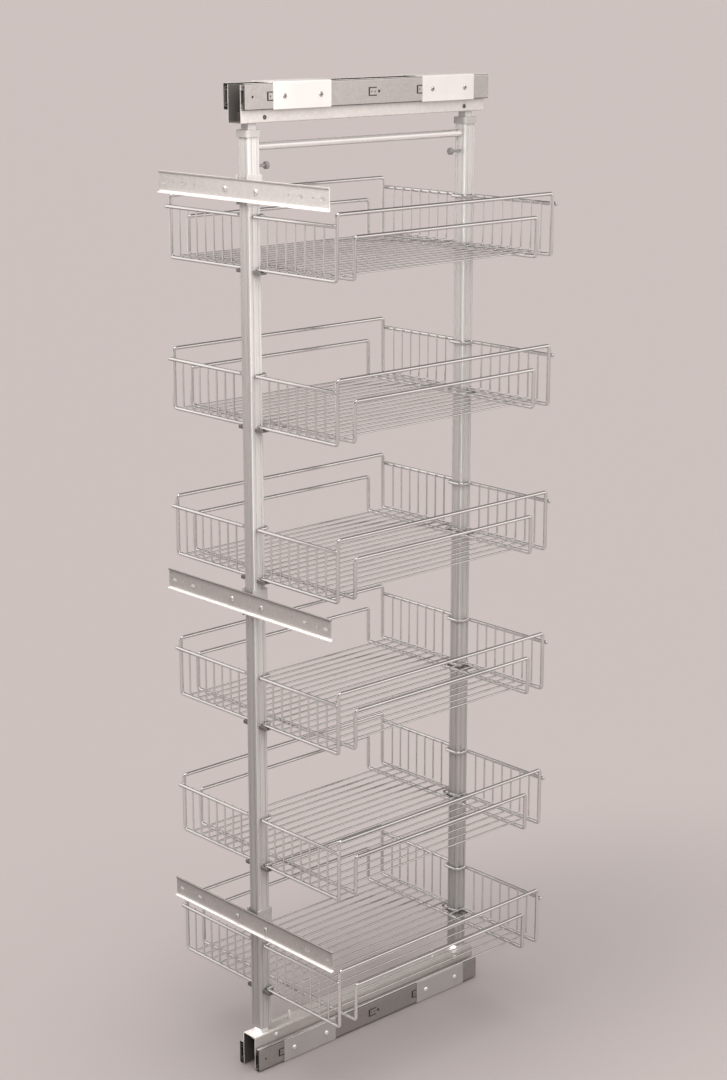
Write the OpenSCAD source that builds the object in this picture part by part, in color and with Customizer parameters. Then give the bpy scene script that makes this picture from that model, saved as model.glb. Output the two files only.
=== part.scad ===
// Six-tier pull-out pantry frame: two telescopic posts carry wire baskets and run on ball-bearing slides.
// X is the width, -Y the pull-out direction, +Z up. The origin is the middle of the underside.

/* [Overall] */
// Height from the cabinet floor to the cabinet top, tubes as photographed
frame_h = 1648; // [1500:1:1750]
// Length of the slides and channels
slide_len = 525; // [500:1:600]

/* [Posts] */
// Side of the square posts
post_w = 24; // [22:0.5:26]
// Wall of the posts
post_wall = 2; // [1.6:0.1:2.4]
// Rounding of the long edges of the posts
post_r = 2.5; // [1.5:0.1:3]
// Width of the decorative grooves in the posts
groove_w = 1.4; // [0.8:0.1:2]
// Depth of the decorative grooves in the posts
groove_depth = 0.7; // [0.4:0.1:1]
// Distance of the grooves from the middle of the face
groove_x = 5.5; // [4.5:0.1:6.5]
// Side of the square tubes that slide in the posts
tube_w = 16; // [14:0.5:17]
// Wall of the sliding tubes
tube_wall = 1.6; // [1.2:0.1:2.4]
// How much of a tube shows between collar and top channel
tube_show = 10; // [10:1:60]
// How far a tube reaches down into its post
tube_in = 270; // [250:1:320]
// Clearance between a tube and what guides it
tube_gap = 0.2; // [0.1:0.05:0.3]
// Height of the collar on a post
collar_h = 11; // [8:0.5:20]
// Wall of the collar round the post
collar_wall = 2.8; // [2:0.1:4]
// Thickness of the collar's top
collar_top = 2.5; // [1.5:0.1:4]
// Clearance between collar and post
collar_gap = 0.1; // [0.05:0.05:0.3]
// How much of a foot shows between bottom channel and post
foot_show = 9; // [5:1:30]
// How far a foot reaches up into its post
foot_in = 50; // [30:1:120]
// Diameter of the cross bar
bar_d = 12; // [8:0.5:16]
// Wall of the cross bar
bar_wall = 1.5; // [1:0.1:2.5]
// Distance from a post's top down to the cross bar
bar_drop = 23.5; // [18:0.5:30]
// Distance from a post's top down to the thumb screw
thumb_drop = 53; // [48:0.5:64]
// Diameter of the thumb screw's knob
knob_d = 12; // [10:0.5:18]
// Length of the thumb screw's knob
knob_len = 6.5; // [5:0.5:14]
// Length of the thumb screw's shank between post and knob
shank_len = 19; // [8:0.5:26]
// Diameter of the thumb screw's thread
thumb_d = 5; // [4:0.5:8]
// Clearance of a thread in its hole
thread_gap = 0.05; // [0.02:0.01:0.1]
// Width of the guide ribs in a post
rib_w = 2; // [1.5:0.1:2.5]

/* [Channels] */
// Outer width of the channels
chan_w = 31; // [28:0.5:36]
// Wall of the channels
chan_wall = 1.5; // [1.2:0.1:2.5]
// Outer corner radius of the channels
chan_r = 2; // [1.8:0.1:3]
// Clearance of a block between the sides of its channel
block_gap = 0.05; // [0.03:0.01:0.2]
// How far a channel stands out past the slides toward the posts
chan_skirt = 20; // [16:0.5:30]
// How far a channel's open edges stay back from the saddle bases
chan_lift = 2; // [1.5:0.5:4]
// Height of the blocks that hold feet and tubes in the channels
block_h = 14; // [10:0.5:16]
// Length of a block inward from the middle of its post
block_in = 70; // [60:1:90]
// Distance of the side screws from the middle of the post
side_screw_y = 19; // [16:0.5:26]
// Distance of the upright set screws from the middle of the post
upright_y = 62; // [45:0.5:64]
// Diameter of the screws in the channels
chan_screw_d = 4; // [3:0.5:5]
// Diameter of the screw heads on the channels
chan_head_d = 7; // [6:0.5:9]
// Height of the screw heads on the channels
chan_head_h = 2; // [1.2:0.1:3]
// How far the upright set screws stand out of the bottom channel
upright_h = 14; // [8:0.5:20]

/* [Slides] */
// Height of a slide
slide_h = 40; // [38:0.5:46]
// Thickness of a slide
slide_t = 10; // [9.6:0.1:13]
// Sheet of the cabinet and frame members
member_s = 1.3; // [1:0.1:1.4]
// Sheet of the middle member
middle_s = 1.1; // [0.9:0.1:1.3]
// Outer corner radius of the cabinet members
cab_r = 2.5; // [1.8:0.1:2.8]
// Outer corner radius of the middle and frame members
mid_r = 1.8; // [1.5:0.1:2.2]
// Ball diameter
ball_d = 4; // [3.6:0.1:4.2]
// Depth of the ball races in the members
race = 0.3; // [0.2:0.05:0.4]
// Clearance of the balls in their races
ball_gap = 0.05; // [0.03:0.01:0.08]
// Clearance between the webs of two members
web_gap = 0.6; // [0.4:0.1:0.8]
// Length of a ball cage
cage_len = 200; // [120:1:220]
// Balls in one row of a cage
cage_balls = 8; // [4:1:12]
// Thickness of the cage strips
cage_s = 0.8; // [0.6:0.1:1.2]
// Width of the cage strips
cage_w = 2.6; // [2:0.1:3.4]
// Hole near the front end of a cabinet member
end_hole_d = 4; // [3:0.5:6]
// Distance of that hole from the end
end_hole_y = 15; // [10:1:30]
// Length of the stamped tongues in a cabinet member
tongue_y = 18; // [14:0.5:20]
// Height of the stamped tongues
tongue_z = 14; // [10:0.5:16]
// Width of the cut round a tongue
tongue_cut = 1.8; // [1.2:0.1:2.4]
// Width of the cut at the end of a stamped tongue
tongue_bar = 3.4; // [2.4:0.1:4]
// Diameter of the two small holes in a tongue
tongue_dot = 2.4; // [1.6:0.1:3]
// Diameter of the hole beside a tongue
tongue_hole = 5; // [3:0.5:6]
// How much of an outer tongue shows beside its saddle
tongue_show = 12; // [8:0.5:14]

/* [Saddles] */
// Sheet of the saddles
saddle_s = 1.5; // [1.2:0.1:2.5]
// Outer bend radius of the saddles
saddle_r = 2.2; // [2:0.1:2.6]
// Length of a saddle
saddle_len = 118; // [100:1:130]
// Distance of the front saddles from the middle
saddle_front = 148; // [130:1:165]
// Distance of the rear saddles from the middle
saddle_rear = 168; // [130:1:190]
// Spacing of the two screws in a saddle leg
saddle_pitch = 74; // [60:1:90]
// Diameter of the saddle screws
saddle_screw_d = 4; // [3:0.5:5]
// Diameter of the heads of the saddle screws
saddle_head_d = 8; // [7:0.5:10]
// Height of the heads of the saddle screws
saddle_head_h = 2; // [1.2:0.1:3]
// Spacing of the cabinet screws in a saddle base
fix_pitch = 80; // [60:1:96]
// Diameter of the cabinet screw holes
fix_d = 5.5; // [4:0.5:7]

/* [Baskets] */
// Width of a basket between its side wires
basket_w = 400; // [300:1:460]
// Depth of a basket between its end wires, and of the posts
basket_d = 470; // [440:1:480]
// Height of the lowest basket's bottom wires
first_z = 144; // [130:1:170]
// Rise from the lowest basket to the next
low_gap = 226; // [215:1:240]
// Distance from a post's top down to the highest basket's bottom wires
top_drop = 210; // [200:1:230]
// Height of the guard rails over the bottom wires
guard_h = 99; // [92:1:110]
// Height of the lower rails over the bottom wires
rail_h = 63; // [45:1:70]
// Height of the end grilles over the bottom wires
grille_h = 82; // [74:1:86]
// How far the lower rails start inward from the ends
rail_in = 36; // [28:1:70]
// How far the grille's top wire reaches past the corners
top_over = 6; // [4:0.5:12]
// Diameter of the main wires
main_d = 6; // [5:0.2:6.6]
// Diameter of the thin wires
thin_d = 3; // [2.4:0.1:3.4]
// Spacing of the thin wires
thin_pitch = 21.8; // [20:0.1:24]
// Bend radius of the main wires
bend_r = 5; // [4:0.5:12]
// Bend radius of a main wire round a post
jog_r = 5; // [4:0.5:5.5]
// Clearance between a wire and a post
jog_gap = 0.5; // [0.3:0.1:1]
// Depth by which crossing wires are welded into each other
weld = 0.25; // [0.15:0.05:0.4]
// Clearance between the grille's top wire and the corner wires
corner_gap = 0.02; // [0.02:0.01:0.1]

/* [Clips] */
// Height of a basket clip under the wire
clip_h = 4; // [3:0.5:8]
// Wall of a basket clip
clip_s = 3; // [2.5:0.1:3.4]
// How far the ears of a clip stand out from the post
clip_ear = 16; // [12:0.5:17]
// Height of the lip of a clip over the underside of the wire
clip_lip = 1.5; // [1:0.5:2.5]
// Clearance between clip and post
clip_gap = 0.1; // [0.05:0.05:0.3]
// Clearance between clip and wire
clip_play = 0.05; // [0.02:0.01:0.1]

/* [Door brackets] */
// How far a door bracket reaches past the middle of a basket's side wires
bracket_over = 4; // [0:0.5:20]
// Height of a door bracket
bracket_h = 35; // [32:0.5:45]
// Sheet of the brackets and clamps
bracket_s = 2; // [1.5:0.1:2.5]
// Depth of the lower flange
flange_y = 6; // [4:0.5:14]
// Depth of the upper lip
lip_y = 4; // [3:0.5:6]
// Rise of the low bracket over the bottom wires of the lowest basket
bracket_low_up = 122.5; // [120:0.5:160]
// Drop of the middle bracket under the bottom wires of the fourth basket
bracket_mid_down = 41; // [38:0.5:90]
// Drop of the top bracket under the tops of the posts
bracket_top_down = 88; // [84:0.5:95]
// Distance of the outer slots from the ends of a bracket
slot_edge = 14; // [12:0.5:18]
// Distance from an outer slot to the inner slot
slot_step = 49; // [45:0.5:55]
// Distance from an outer slot to the outer small hole
small_out = 22; // [16:0.5:24]
// Distance from an inner slot to the inner small hole
small_in = 28; // [16:0.5:32]
// Length of the slots
slot_len = 12; // [8:0.5:14]
// Width of the slots
slot_w = 5.5; // [4:0.5:7]
// Diameter of the small holes
small_d = 4; // [3:0.5:5]
// Height of the strap of a clamp
clamp_h = 46; // [40:0.5:50]
// Height of the ears of a clamp
ear_h = 22; // [16:0.5:26]
// Gap between the front post and the door brackets
clamp_off = 4; // [2:0.5:6]
// Distance of the clamp bolts from the middle
clamp_bolt_x = 37; // [30:0.5:44]
// Edge of a clamp's ear past its bolt
clamp_edge = 8; // [6:0.5:12]
// Diameter of the clamp bolts
clamp_bolt_d = 5; // [4:0.5:6]
// Diameter of the heads of the clamp bolts
clamp_head_d = 9; // [8:0.5:12]
// Height of the heads and nuts of the clamp bolts
clamp_head_h = 3; // [2:0.5:4]

/* [Hidden] */
$fn = 40;
eps = 0.01;
tiers = 6;
slide_z0 = saddle_s;
slide_z1 = frame_h - saddle_s - slide_h;
slide_x = chan_w / 2;
saddle_x = slide_x + slide_t;
chan_h = slide_h + chan_skirt - chan_lift;
chan_bot_z = saddle_s + chan_lift;
web_bot_z = chan_bot_z + chan_h;
web_top_z = frame_h - web_bot_z;
post_y = basket_d / 2;
post_in = post_y - post_w / 2;
post_out = post_y + post_w / 2;
post_z0 = web_bot_z + foot_show;
collar_z1 = web_top_z - tube_show;
post_z1 = collar_z1 - collar_top;
bore_w = post_w - 2 * post_wall;
guide_w = tube_w + 2 * tube_gap;
rib_x = guide_w / 2 - rib_w;
bar_z = post_z1 - bar_drop;
thumb_z = post_z1 - thumb_drop;
knob_edge = 1;
flute_d = 2;
block_w = chan_w - 2 * (chan_wall + block_gap);

// Section of the slides, u out from the channel, v up from the slide's middle
cab_in = slide_h / 2 - member_s;
stage = ball_d - 2 * race;
mid_out = cab_in - stage;
mid_in = mid_out - middle_s;
frm_out = mid_in - stage;
frm_in = frm_out - member_s;
mid_web1 = slide_t - member_s - web_gap;
mid_web0 = mid_web1 - middle_s;
frm_end = mid_web0 - web_gap;
mid_open = member_s + web_gap;
cab_open = mid_open + web_gap;
outer_ball_u = (cab_open + mid_web1) / 2;
inner_ball_u = (mid_open + frm_end) / 2;
outer_ball_v = cab_in - stage / 2;
inner_ball_v = mid_in - stage / 2;

// Basket levels and wire places, relative to the bottom wires of a basket
tier_gap = (post_z1 - top_drop - first_z - low_gap) / (tiers - 2);
function tier_z(i) = i == 0 ? first_z : first_z + low_gap + (i - 1) * tier_gap;
thin_z = (main_d + thin_d) / 2 - weld;
top_y = post_y + main_d + corner_gap;
grille_y = top_y - (main_d + thin_d) / 2 + weld;
thin_r = thin_d;
jog_x = post_w / 2 + jog_gap + main_d / 2;
jog_y = post_in - jog_gap - main_d / 2;
rail_y = post_y - rail_in;
side_x = basket_w / 2;
gap_n = 2;
thin_n = floor((side_x - bend_r - main_d) / thin_pitch);
bracket_y = post_out + clamp_off;
bracket_len = basket_w + 2 * bracket_over;
bracket_low_z = tier_z(0) + bracket_low_up;
bracket_mid_z = tier_z(3) - bracket_mid_down;
bracket_top_z = post_z1 - bracket_top_down;
slot_out_x = bracket_len / 2 - slot_edge;
slot_in_x = slot_out_x - slot_step;
small_out_x = slot_out_x - small_out;
small_in_x = slot_in_x - small_in;

// Rounded rectangle about the middle
module round_rect(w, h, r) {
    square([w - 2 * r, h], center = true);
    square([w, h - 2 * r], center = true);
    for (x = [-1, 1], y = [-1, 1])
        translate([x * (w / 2 - r), y * (h / 2 - r)])
            circle(r = r);
}

// Profile in X and Z drawn out along Y, about the middle
module along_y(len) {
    rotate([90, 0, 0])
        linear_extrude(len, center = true)
            children();
}

// Profile in Y and Z drawn out along X, about the middle
module along_x(len) {
    rotate([90, 0, 90])
        linear_extrude(len, center = true)
            children();
}

// Round hole or shank along X
module pin_x(d, x0, x1) {
    translate([x0, 0, 0])
        rotate([0, 90, 0])
            cylinder(d = d, h = x1 - x0);
}

// Round hole or shank along Y
module pin_y(d, y0, y1) {
    translate([0, y0, 0])
        rotate([-90, 0, 0])
            cylinder(d = d, h = y1 - y0);
}

// Low domed screw head on the plane z = 0
module pan_head(d, h) {
    rotate_extrude()
        intersection() {
            square([d / 2, h]);
            translate([0, h / 2])
                difference() {
                    union() {
                        square([d - h, h], center = true);
                        translate([d / 2 - h / 2, 0])
                            circle(d = h);
                        translate([0, -h / 2])
                            square([d / 2, h / 2]);
                    }
                    translate([-d, -h])
                        square([d, 2 * h]);
                }
        }
}

function unit(v) = v / norm(v);
function across(v) = abs(v[2]) > 0.5 ? [1, 0, 0] : [0, 0, 1];
function pose(o, x, y, z) = [
    [x[0], y[0], z[0], o[0]],
    [x[1], y[1], z[1], o[1]],
    [x[2], y[2], z[2], o[2]],
    [0, 0, 0, 1]];

// Straight run of wire from a to b
module wire_run(a, b, d) {
    if (norm(b - a) > eps) {
        z = unit(b - a);
        x = across(z);
        multmatrix(pose(a, x, cross(z, x), z))
            cylinder(d = d, h = norm(b - a));
    }
}

// Quarter bend of wire at corner p, coming along u and leaving along v
module wire_bend(p, u, v, r, d) {
    multmatrix(pose(p - r * u + r * v, -v, u, cross(u, v)))
        rotate_extrude(angle = 90)
            translate([r, 0])
                circle(d = d);
}

// Bent wire through square corners
module wire(pts, d, r) {
    n = len(pts);
    dirs = [for (i = [0 : n - 2]) unit(pts[i + 1] - pts[i])];
    for (i = [0 : n - 2])
        wire_run(pts[i] + (i > 0 ? r : 0) * dirs[i], pts[i + 1] - (i < n - 2 ? r : 0) * dirs[i], d);
    for (i = [1 : n - 2])
        wire_bend(pts[i], dirs[i - 1], dirs[i], r, d);
}

// C section: web on the far side of u1, opening at u0, half height h, sheet s
module c_section(u0, u1, h, s, r) {
    difference() {
        translate([u1 - h, 0])
            round_rect(2 * h, 2 * h, r);
        translate([u1 - s - h, 0])
            round_rect(2 * h, 2 * (h - s), r - s);
        translate([u0 - 3 * h, -2 * h])
            square([3 * h, 4 * h]);
    }
}

// Races of one ball row pair
module races(u, v) {
    for (s = [-1, 1])
        translate([u, s * v])
            circle(d = ball_d + 2 * ball_gap);
}

module cabinet_section() {
    difference() {
        c_section(cab_open, slide_t, slide_h / 2, member_s, cab_r);
        races(outer_ball_u, outer_ball_v);
    }
}

module middle_section() {
    difference() {
        c_section(mid_open, mid_web1, mid_out, middle_s, mid_r);
        races(outer_ball_u, outer_ball_v);
        races(inner_ball_u, inner_ball_v);
    }
}

module frame_section() {
    difference() {
        translate([frm_end, 0])
            mirror([1, 0])
                c_section(0, frm_end, frm_out, member_s, mid_r);
        races(inner_ball_u, inner_ball_v);
    }
}

// Puts a right-hand slide piece at its side and level
module at_slide(side, z0) {
    translate([0, 0, z0 + slide_h / 2])
        if (side > 0)
            translate([slide_x, 0, 0])
                children();
        else
            mirror([1, 0, 0])
                translate([slide_x, 0, 0])
                    children();
}

// Stamped tongue with a round hole beside it
module tongue() {
    rotate([0, 90, 0])
        linear_extrude(4 * slide_t, center = true) {
            difference() {
                square([tongue_z, tongue_y], center = true);
                translate([0, tongue_bar])
                    square([tongue_z - 2 * tongue_cut, tongue_y], center = true);
            }
            for (k = [-1, 1])
                translate([0, tongue_bar / 2 + k * tongue_y / 5])
                    circle(d = tongue_dot);
            translate([0, tongue_y / 2 + tongue_hole])
                circle(d = tongue_hole);
        }
}

module cabinet_member(side, z0) {
    color([0.6, 0.6, 0.6])
        at_slide(side, z0)
            difference() {
                along_y(slide_len)
                    cabinet_section();
                for (c = [-saddle_front, saddle_rear], k = [-1, 1])
                    translate([0, c + k * saddle_pitch / 2, 0])
                        pin_x(saddle_screw_d + 2 * thread_gap, slide_t / 2, 2 * slide_t);
                for (y = [-saddle_front, saddle_rear])
                    translate([2.5 * slide_t, y - saddle_len / 2 + tongue_y / 2 - tongue_show, 0])
                        tongue();
                translate([2.5 * slide_t, 0, 0])
                    tongue();
                translate([0, end_hole_y - slide_len / 2, 0])
                    pin_x(end_hole_d, slide_t / 2, 2 * slide_t);
            }
}

module middle_member(side, z0) {
    color([0.68, 0.68, 0.69])
        at_slide(side, z0)
            along_y(slide_len)
                middle_section();
}

module frame_member(side, z0) {
    color([0.66, 0.66, 0.67])
        at_slide(side, z0)
            along_y(slide_len)
                frame_section();
}

// Cage strip with its row of balls
module cage_row(u, v) {
    translate([u, 0, v])
        cube([cage_w, cage_len, cage_s], center = true);
    for (i = [0 : cage_balls - 1])
        translate([u, (i - (cage_balls - 1) / 2) * cage_len / cage_balls, v])
            sphere(d = ball_d);
}

module ball_cages(z0, u, v) {
    color([0.8, 0.8, 0.8])
        for (side = [-1, 1], k = [-1, 1])
            at_slide(side, z0)
                cage_row(u, k * v);
}

// Saddle that joins two slides, base on z = 0
module saddle_form() {
    difference() {
        along_y(saddle_len)
            difference() {
                translate([0, 2 * slide_h])
                    round_rect(2 * (saddle_x + saddle_s), 4 * slide_h, saddle_r);
                translate([-saddle_x, saddle_s])
                    square([2 * saddle_x, 4 * slide_h]);
                translate([-2 * saddle_x, saddle_s + slide_h])
                    square([4 * saddle_x, 4 * slide_h]);
            }
        for (k = [-1, 1])
            translate([0, k * fix_pitch / 2, -saddle_s])
                cylinder(d = fix_d, h = 3 * saddle_s);
        for (k = [-1, 1])
            translate([0, k * saddle_pitch / 2, saddle_s + slide_h / 2])
                pin_x(saddle_screw_d + 2 * thread_gap, -2 * saddle_x, 2 * saddle_x);
    }
}

module saddle_bottom(y) {
    color([0.82, 0.82, 0.81])
        translate([0, y, 0])
            saddle_form();
}

module saddle_top(y) {
    color([0.92, 0.92, 0.91])
        translate([0, y, frame_h])
            mirror([0, 0, 1])
                saddle_form();
}

module saddle_screws(z0) {
    color([0.75, 0.75, 0.75])
        for (side = [-1, 1], c = [-saddle_front, saddle_rear], k = [-1, 1])
            translate([side * (saddle_x + saddle_s), c + k * saddle_pitch / 2, z0 + slide_h / 2])
                rotate([0, side * 90, 0]) {
                    pan_head(saddle_head_d, saddle_head_h);
                    translate([0, 0, -saddle_s - member_s])
                        cylinder(d = saddle_screw_d, h = saddle_s + member_s + saddle_head_h / 2);
                }
}

// Channel, web on top at z = 0, open edges below
module channel_form() {
    difference() {
        along_y(slide_len)
            difference() {
                translate([0, -chan_h])
                    round_rect(chan_w, 2 * chan_h, chan_r);
                translate([0, -chan_h - chan_wall])
                    round_rect(chan_w - 2 * chan_wall, 2 * chan_h, chan_r - chan_wall / 2);
                translate([-chan_w, -3 * chan_h])
                    square([2 * chan_w, 2 * chan_h]);
            }
        for (k = [-1, 1]) {
            translate([0, k * post_y, -chan_wall])
                cube([guide_w, guide_w, 4 * chan_wall], center = true);
            translate([0, k * (post_y - side_screw_y), -chan_wall - block_h / 2])
                pin_x(chan_screw_d + 2 * thread_gap, -chan_w, chan_w);
        }
    }
}

module bottom_channel() {
    color([0.7, 0.7, 0.7])
        translate([0, 0, web_bot_z])
            difference() {
                channel_form();
                for (k = [-1, 1])
                    translate([0, k * (post_y - upright_y), -2 * chan_wall])
                        cylinder(d = chan_screw_d + 2 * thread_gap, h = 4 * chan_wall);
            }
}

module top_channel() {
    color([0.7, 0.7, 0.7])
        translate([0, 0, web_top_z])
            mirror([0, 0, 1])
                channel_form();
}

// Block under a channel web with its square stem, for the front post
module block_form(stem_h, hollow) {
    difference() {
        union() {
            translate([0, (block_in - post_w / 2) / 2 - post_y, -chan_wall - block_h / 2])
                along_y(post_w / 2 + block_in)
                    round_rect(block_w, block_h, chan_r);
            translate([-tube_w / 2, -post_y - tube_w / 2, -chan_wall - block_h / 2])
                cube([tube_w, tube_w, chan_wall + block_h / 2 + stem_h]);
        }
        if (hollow)
            translate([0, -post_y, stem_h / 2])
                cube([tube_w - 2 * tube_wall, tube_w - 2 * tube_wall, stem_h + 2 * eps], center = true);
        translate([0, side_screw_y - post_y, -chan_wall - block_h / 2])
            pin_x(chan_screw_d + 2 * thread_gap, -chan_w, chan_w);
        if (!hollow)
            translate([0, upright_y - post_y, -4 * block_h])
                cylinder(d = chan_screw_d + 2 * thread_gap, h = 8 * block_h);
    }
}

module foot_form() {
    color([0.85, 0.85, 0.85])
        translate([0, 0, web_bot_z])
            block_form(foot_show + foot_in, false);
}

module foot_front() {
    foot_form();
}

module foot_rear() {
    mirror([0, 1, 0])
        foot_form();
}

module tube_form() {
    color([0.85, 0.85, 0.85])
        translate([0, 0, web_top_z])
            mirror([0, 0, 1])
                block_form(tube_show + collar_top + tube_in, true);
}

module tube_front() {
    tube_form();
}

module tube_rear() {
    mirror([0, 1, 0])
        tube_form();
}

// Screw through a channel side into its block
module side_screws(z) {
    for (side = [-1, 1], k = [-1, 1])
        translate([side * chan_w / 2, k * (post_y - side_screw_y), z])
            rotate([0, side * 90, 0]) {
                pan_head(chan_head_d, chan_head_h);
                translate([0, 0, -chan_w / 4])
                    cylinder(d = chan_screw_d, h = chan_w / 4 + chan_head_h / 2);
            }
}

module foot_screws() {
    color([0.78, 0.78, 0.78]) {
        side_screws(web_bot_z - chan_wall - block_h / 2);
        for (k = [-1, 1])
            translate([0, k * (post_y - upright_y), web_bot_z]) {
                translate([0, 0, -chan_wall - block_h])
                    cylinder(d = chan_screw_d, h = chan_wall + block_h + upright_h);
                translate([0, 0, upright_h])
                    cylinder(d1 = chan_screw_d, d2 = chan_screw_d / 2, h = chan_screw_d / 4);
            }
    }
}

module tube_screws() {
    color([0.78, 0.78, 0.78])
        side_screws(web_top_z + chan_wall + block_h / 2);
}

// Extruded post section with guide ribs for the tube and grooved faces
module post_section() {
    difference() {
        round_rect(post_w, post_w, post_r);
        square(bore_w, center = true);
        for (a = [0 : 90 : 270], k = [-1, 1])
            rotate(a)
                translate([k * groove_x, post_w / 2])
                    square([groove_w, 2 * groove_depth], center = true);
    }
    for (a = [0 : 90 : 270], k = [-1, 1])
        rotate(a)
            translate([k * rib_x - rib_w / 2, guide_w / 2])
                square([rib_w, (bore_w - guide_w) / 2 + post_wall / 4]);
}

module post_form() {
    color([0.74, 0.73, 0.72])
        difference() {
            translate([0, -post_y, post_z0])
                linear_extrude(post_z1 - post_z0)
                    post_section();
            translate([0, 0, thumb_z])
                pin_y(thumb_d + 2 * thread_gap, -post_y, -post_in + post_w);
        }
}

module post_front() {
    post_form();
}

module post_rear() {
    mirror([0, 1, 0])
        post_form();
}

// Cap round a post's top with a square hole for the tube
module collar_form() {
    difference() {
        translate([0, -post_y, collar_z1 - collar_h])
            linear_extrude(collar_h)
                difference() {
                    round_rect(post_w + 2 * collar_gap + 2 * collar_wall,
                        post_w + 2 * collar_gap + 2 * collar_wall, post_r + collar_wall);
                    square(guide_w, center = true);
                }
        translate([0, -post_y, collar_z1 - collar_top - collar_h])
            linear_extrude(collar_h)
                round_rect(post_w + 2 * collar_gap, post_w + 2 * collar_gap, post_r);
    }
}

module post_collars() {
    color([0.8, 0.79, 0.78]) {
        collar_form();
        mirror([0, 1, 0])
            collar_form();
    }
}

module cross_bar() {
    color([0.86, 0.86, 0.86])
        translate([0, 0, bar_z])
            difference() {
                pin_y(bar_d, -post_in, post_in);
                pin_y(bar_d - 2 * bar_wall, -2 * post_in, 2 * post_in);
            }
}

// Fluted knob on its threaded shank, pressing on the tube of the front post
module thumb_form() {
    color([0.7, 0.7, 0.7])
        translate([0, -post_in, thumb_z])
            rotate([-90, 0, 0]) {
                difference() {
                    translate([0, 0, shank_len])
                        rotate_extrude()
                            polygon([[0, 0], [knob_d / 2 - knob_edge, 0], [knob_d / 2, knob_edge],
                                [knob_d / 2, knob_len - knob_edge], [knob_d / 2 - knob_edge, knob_len],
                                [0, knob_len]]);
                    for (a = [0 : 30 : 330])
                        rotate(a)
                            translate([(knob_d + flute_d) / 2 - flute_d * 0.3, 0, shank_len - knob_len])
                                cylinder(d = flute_d, h = 3 * knob_len);
                }
                translate([0, 0, -(post_w - tube_w) / 2 + thread_gap])
                    cylinder(d = thumb_d, h = (post_w - tube_w) / 2 + shank_len + knob_len / 4);
            }
}

module thumb_screw_front() {
    thumb_form();
}

module thumb_screw_rear() {
    mirror([0, 1, 0])
        thumb_form();
}

// Bottom wire that steps round the inner side of the post, from corner to corner
function jog_path(x, y, z) = [[-x, y, z], [-jog_x, y, z], [-jog_x, jog_y, z],
    [jog_x, jog_y, z], [jog_x, y, z], [x, y, z]];

// Floor grid: loop bottoms along X and thin wires along Y
module basket_floor(z) {
    color([0.87, 0.87, 0.87])
        translate([0, 0, z]) {
            for (k = [0, 1])
                mirror([0, k, 0]) {
                    wire(jog_path(side_x - bend_r, post_y, 0), main_d, jog_r);
                    wire_run([bend_r - side_x, rail_y, 0], [side_x - bend_r, rail_y, 0], main_d);
                }
            for (i = [-thin_n : thin_n]) {
                middle = i == 0 ? jog_y : post_y;
                reach = abs(i) < gap_n ? middle + thin_d / 3 : grille_y - thin_r;
                wire_run([i * thin_pitch, -reach, thin_z], [i * thin_pitch, reach, thin_z], thin_d);
            }
        }
}

// Two end grilles: a top wire round the post and thin wires that bend up from the floor
module basket_grilles(z) {
    color([0.87, 0.87, 0.87])
        translate([0, 0, z])
            for (k = [0, 1])
                mirror([0, k, 0]) {
                    wire(jog_path(side_x + top_over, top_y, grille_h), main_d, jog_r);
                    for (i = [gap_n : thin_n], s = [-1, 1])
                        wire([[s * i * thin_pitch, grille_y - thin_r, thin_z],
                            [s * i * thin_pitch, grille_y, thin_z],
                            [s * i * thin_pitch, grille_y, grille_h + main_d / 4]], thin_d, thin_r);
                }
}

// Guard rails and lower rails with their legs, two of each
module basket_rails(z) {
    color([0.87, 0.87, 0.87])
        translate([0, 0, z])
            for (k = [0, 1], r = [[post_y, guard_h], [rail_y, rail_h]])
                mirror([k, 0, 0])
                    wire([[side_x - bend_r, -r[0], 0], [side_x, -r[0], 0], [side_x, -r[0], r[1]],
                        [side_x, r[0], r[1]], [side_x, r[0], 0], [side_x - bend_r, r[0], 0]], main_d, bend_r);
}

// Saddle clip that hugs the inner side of the front post and carries the bottom wire on its ears
module clip_form() {
    inner = post_w / 2 + clip_gap;
    outer = inner + clip_s;
    wire_out = post_y + main_d / 2 + clip_play;
    lip_h = clip_lip + clip_play + clip_h / 2;
    translate([0, 0, -main_d / 2 - clip_play - clip_h])
        linear_extrude(clip_h)
            difference() {
                union() {
                    translate([-outer, -post_y - main_d / 2])
                        square([2 * outer, post_y + main_d / 2 - post_in + clip_gap + clip_s]);
                    translate([-inner - clip_ear, -wire_out - clip_s])
                        square([2 * (inner + clip_ear), clip_s + 2 * main_d]);
                }
                translate([-inner, -post_out - post_w])
                    square([2 * inner, post_out + post_w - post_in + clip_gap]);
            }
    for (s = [-1, 1])
        translate([s * (inner + clip_ear / 2), -wire_out - clip_s / 2, clip_lip - main_d / 2 - lip_h / 2])
            cube([clip_ear, clip_s, lip_h], center = true);
}

module basket_clips() {
    color([0.25, 0.25, 0.25])
        for (i = [0 : tiers - 1], k = [0, 1])
            translate([0, 0, tier_z(i)])
                mirror([0, k, 0])
                    clip_form();
}

// Slot through a bracket face
module slot(len, w) {
    rotate([90, 0, 0])
        linear_extrude(8 * bracket_s, center = true) {
            square([len - w, w], center = true);
            for (s = [-1, 1])
                translate([s * (len - w) / 2, 0])
                    circle(d = w);
        }
}

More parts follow.
